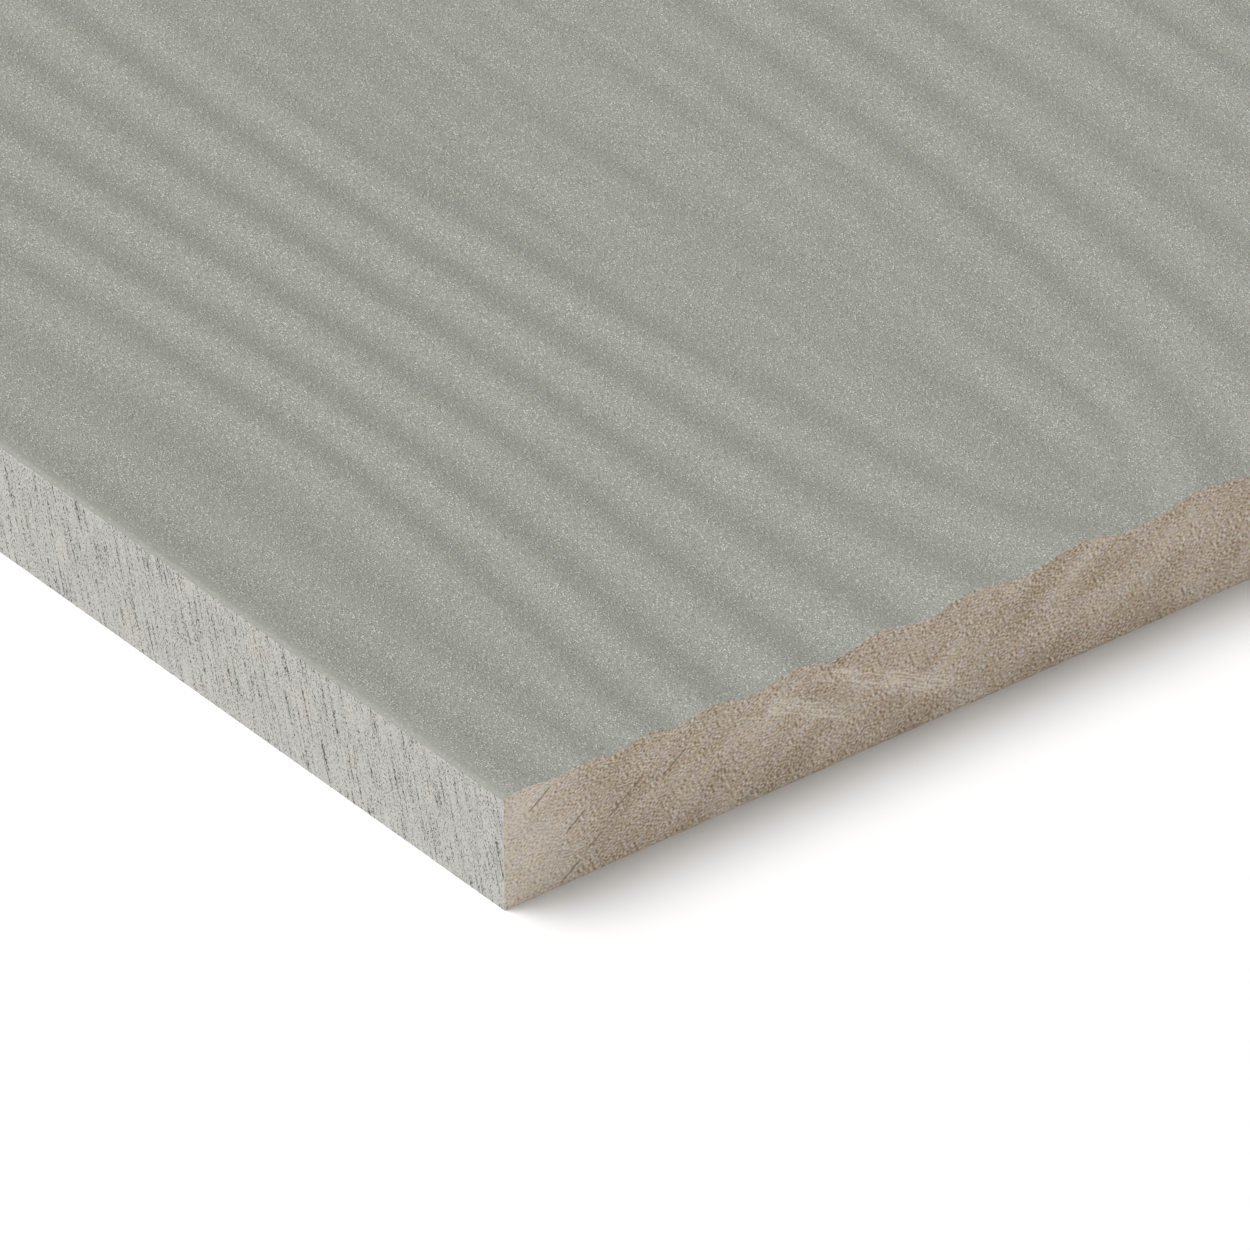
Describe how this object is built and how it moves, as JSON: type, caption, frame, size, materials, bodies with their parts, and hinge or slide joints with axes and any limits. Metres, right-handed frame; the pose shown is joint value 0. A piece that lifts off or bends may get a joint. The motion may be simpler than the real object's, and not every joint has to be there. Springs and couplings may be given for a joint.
{
  "type": "fibre cement cladding plank",
  "caption": "Long flat fibre cement plank with a pressed wood-grain face, coated in matt grey-green, with coated long edges and raw sawn ends, for cladding walls.",
  "frame": {"origin": "middle of the back face, on the surface that the plank lies on", "axes": "+X along the length towards the end in the picture, +Y across the width away from the long edge in the picture, +Z out of the grained face"},
  "size_m": [3.6, 0.19, 0.01],
  "materials": {
    "coated_fibre_cement": "matte"
  },
  "bodies": {
    "root": {"plank": "coated_fibre_cement"}
  },
  "joints": []
}
